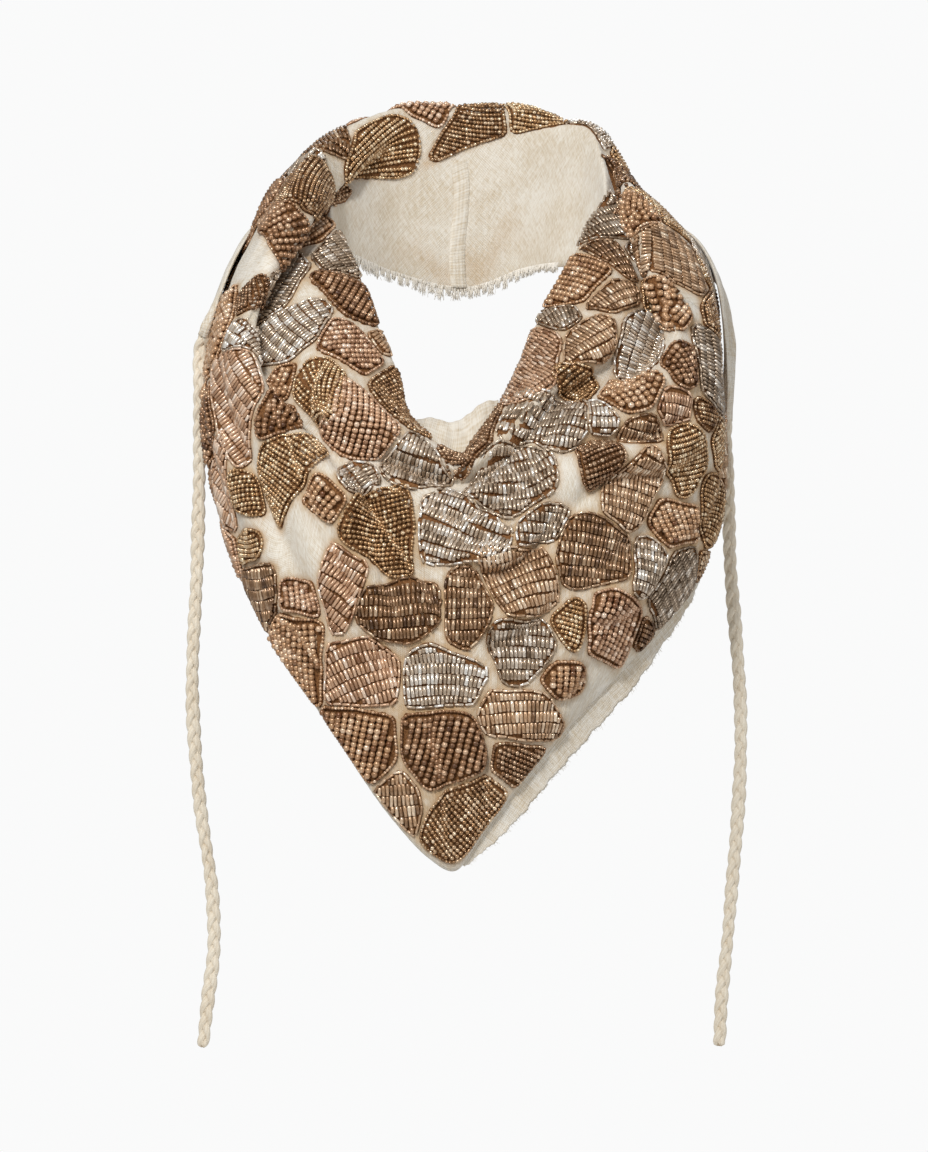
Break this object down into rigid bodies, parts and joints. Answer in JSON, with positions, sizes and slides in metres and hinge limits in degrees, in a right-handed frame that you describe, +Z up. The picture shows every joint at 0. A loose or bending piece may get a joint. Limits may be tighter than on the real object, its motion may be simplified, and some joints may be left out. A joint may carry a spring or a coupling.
{
  "type": "beaded bandana",
  "caption": "Worn neck bandana: cotton gauze draped in folds round an open neck to a point in front, covered in patches of glass beads, with two braided ties.",
  "frame": {"origin": "inside of the cloth at the middle of the back, where it lies on the wearer's nape", "axes": "+X to the right as seen from in front, +Y from the front to the back, +Z up"},
  "size_m": [0.2809, 0.2193, 0.4816],
  "materials": {
    "front_drape": "matte cotton gauze with satin glass beads in patches",
    "collar": "matte cotton gauze, beaded on the outside",
    "frayed_edge": "raw cotton threads",
    "inner_fold": "matte cotton gauze",
    "hem_border": "matte woven cotton",
    "tail_left": "matte cotton gauze",
    "tail_right": "matte cotton gauze",
    "tie_left": "braided cotton",
    "tie_right": "braided cotton"
  },
  "bodies": {
    "root": {"front_drape": "front_drape", "collar": "collar", "frayed_edge": "frayed_edge", "inner_fold": "inner_fold", "hem_border": "hem_border", "tail_left": "tail_left", "tail_right": "tail_right", "tie_left": "tie_left", "tie_right": "tie_right"}
  },
  "joints": []
}
